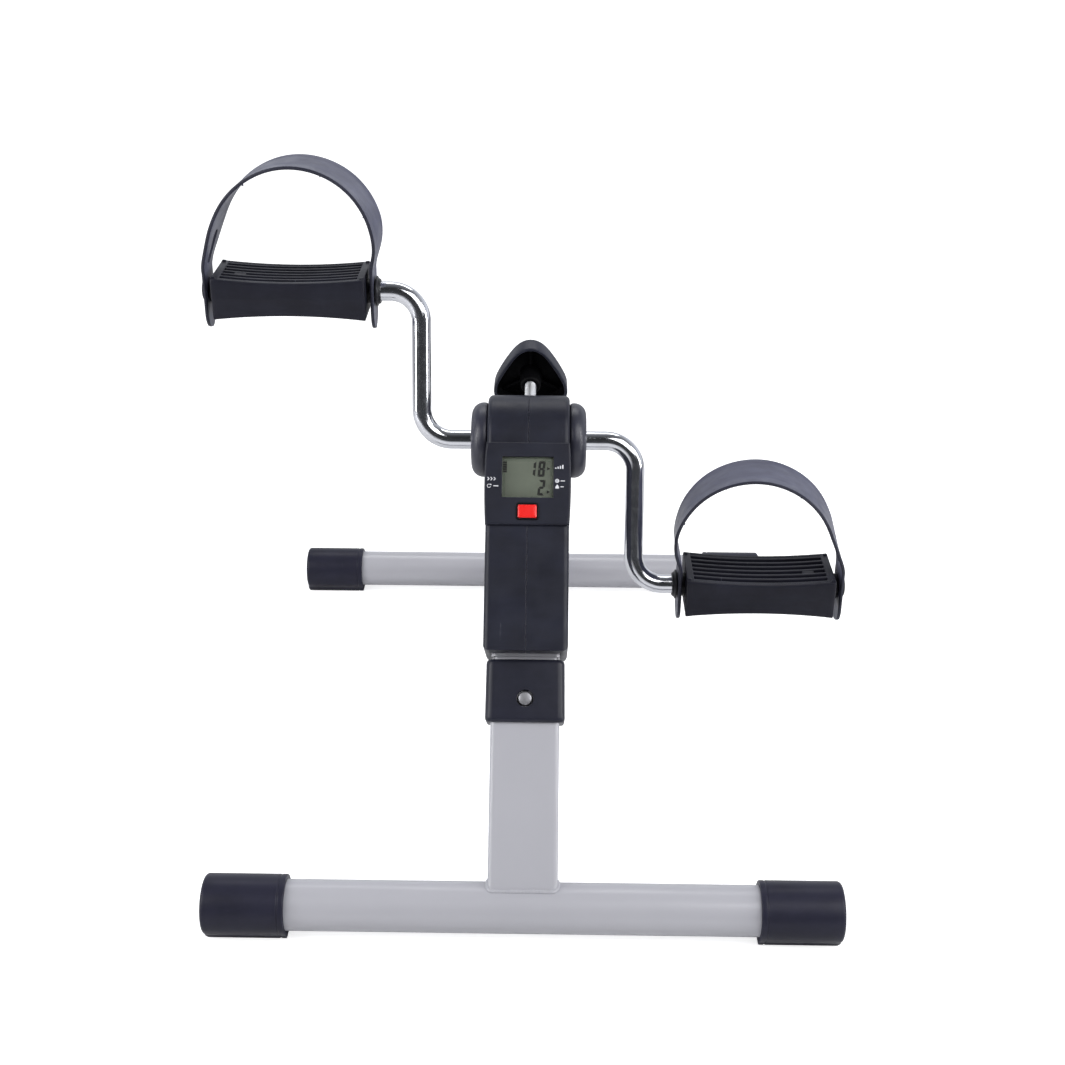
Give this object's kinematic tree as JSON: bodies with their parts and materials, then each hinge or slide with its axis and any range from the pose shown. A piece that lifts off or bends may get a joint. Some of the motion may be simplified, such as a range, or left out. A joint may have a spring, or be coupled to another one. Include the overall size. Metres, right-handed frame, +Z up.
{
  "type": "pedal exerciser",
  "caption": "Folding under-desk pedal exerciser with a leaning post, bent chromed crank, strapped pedals, a tension knob and a small display.",
  "frame": {"origin": "on the floor, midway between the two floor feet, on the machine's mid-plane", "axes": "+X to the user's right, +Y from the user's side towards the rear foot, +Z up"},
  "size_m": [0.4298, 0.4867, 0.4368],
  "materials": {
    "frame_paint": "semi-gloss light grey enamel",
    "black_plastic": "fine moulded texture",
    "housing_plastic": "satin moulded black with light scuffs",
    "bezel_plastic": "satin moulded black",
    "knob_plastic": "satin moulded black",
    "pedal_plastic": "coarse moulded texture",
    "strap_plastic": "soft flexible PVC, satin",
    "chrome_rod": "polished chrome plating",
    "zinc_steel": "zinc plated",
    "bare_steel": "mill finish",
    "nylon": "natural nylon",
    "felt": "pressed wool felt",
    "clear_lens": "clear acrylic",
    "lcd": "grey-green liquid crystal panel",
    "board": "green solder mask",
    "red_button": "glossy red",
    "cell": "nickel plated",
    "magnet": "nickel plated",
    "cable": "black insulation"
  },
  "bodies": {
    "frame": {"main_post": "frame_paint", "hinge_channel": "zinc_steel", "hinge_pin": "zinc_steel", "head_bracket": "zinc_steel", "rear_leg": "frame_paint", "rear_foot_tube": "frame_paint", "rear_cap_left": "black_plastic", "rear_cap_right": "black_plastic", "housing_left": "housing_plastic", "housing_right": "housing_plastic", "housing_screws": "zinc_steel", "hub_cover_left": "black_plastic", "hub_cover_right": "black_plastic", "bearing_left": "nylon", "bearing_right": "nylon", "tension_nut": "zinc_steel", "display_bezel": "bezel_plastic", "display_lens": "clear_lens", "lcd_panel": "lcd", "circuit_board": "board", "battery": "cell", "reed_sensor": "black_plastic", "sensor_cable": "cable", "snap_spring": "zinc_steel"},
    "front_leg": {"front_leg_tube": "frame_paint", "front_foot_tube": "frame_paint", "front_cap_left": "black_plastic", "front_cap_right": "black_plastic", "leg_collar": "black_plastic"},
    "snap_button": {"snap_button": "zinc_steel"},
    "mode_button": {"mode_button": "red_button"},
    "crank": {"axle_sleeve": "bare_steel", "brake_drum": "bare_steel", "crank_left": "chrome_rod", "crank_right": "chrome_rod", "cross_bolts": "zinc_steel", "drum_magnet": "magnet", "spindle_clips": "zinc_steel"},
    "pedal_left": {"pedal_left_body": "pedal_plastic", "pedal_left_bushes": "black_plastic", "pedal_left_cap": "black_plastic"},
    "pedal_right": {"pedal_right_body": "pedal_plastic", "pedal_right_bushes": "black_plastic", "pedal_right_cap": "black_plastic"},
    "strap_left": {"pedal_left_strap": "strap_plastic"},
    "strap_right": {"pedal_right_strap": "strap_plastic"},
    "brake": {"brake_shoe": "nylon", "brake_felt": "felt"},
    "knob": {"tension_knob": "knob_plastic", "tension_screw": "zinc_steel"}
  },
  "joints": [
    {"name": "leg_fold", "type": "hinge", "parent": "frame", "child": "front_leg", "pos_m": [0, -0.16278, 0.10596], "axis": [1, 0, 0], "range_deg": [0, 86]},
    {"name": "snap_press", "type": "slide", "parent": "frame", "child": "snap_button", "axis": [0, 0.7815, -0.6239], "range_m": [0, 0.0065], "stiffness_N_per_m": 900, "deforming": ["snap_spring"]},
    {"name": "mode_press", "type": "slide", "parent": "frame", "child": "mode_button", "axis": [0, 0.7815, -0.6239], "range_m": [0, 0.0012], "stiffness_N_per_m": 400},
    {"name": "crank_turn", "type": "hinge", "parent": "frame", "child": "crank", "pos_m": [0, -0.03534, 0.25758], "axis": [1, 0, 0], "continuous": true},
    {"name": "pedal_left_turn", "type": "hinge", "parent": "crank", "child": "pedal_left", "pos_m": [0, -0.00923, 0.35173], "axis": [1, 0, 0], "continuous": true},
    {"name": "pedal_right_turn", "type": "hinge", "parent": "crank", "child": "pedal_right", "pos_m": [0, -0.06145, 0.16344], "axis": [1, 0, 0], "continuous": true},
    {"name": "strap_left_swing", "type": "hinge", "parent": "pedal_left", "child": "strap_left", "pos_m": [0, -0.00923, 0.35173], "axis": [1, 0, 0], "range_deg": [-20, 20]},
    {"name": "strap_right_swing", "type": "hinge", "parent": "pedal_right", "child": "strap_right", "pos_m": [0, -0.06145, 0.16344], "axis": [1, 0, 0], "range_deg": [-20, 20]},
    {"name": "brake_feed", "type": "slide", "parent": "frame", "child": "brake", "axis": [0, -0.9744, -0.225], "range_m": [-0.003, 0.001]},
    {"name": "knob_turn", "type": "hinge", "parent": "brake", "child": "knob", "pos_m": [0, -0.03534, 0.25758], "axis": [0, -0.9744, -0.225], "range_deg": [-864, 288]}
  ],
  "couplings": [
    {"joint": "brake_feed", "follows": "knob_turn", "m_per_rad": 0.00019894}
  ]
}
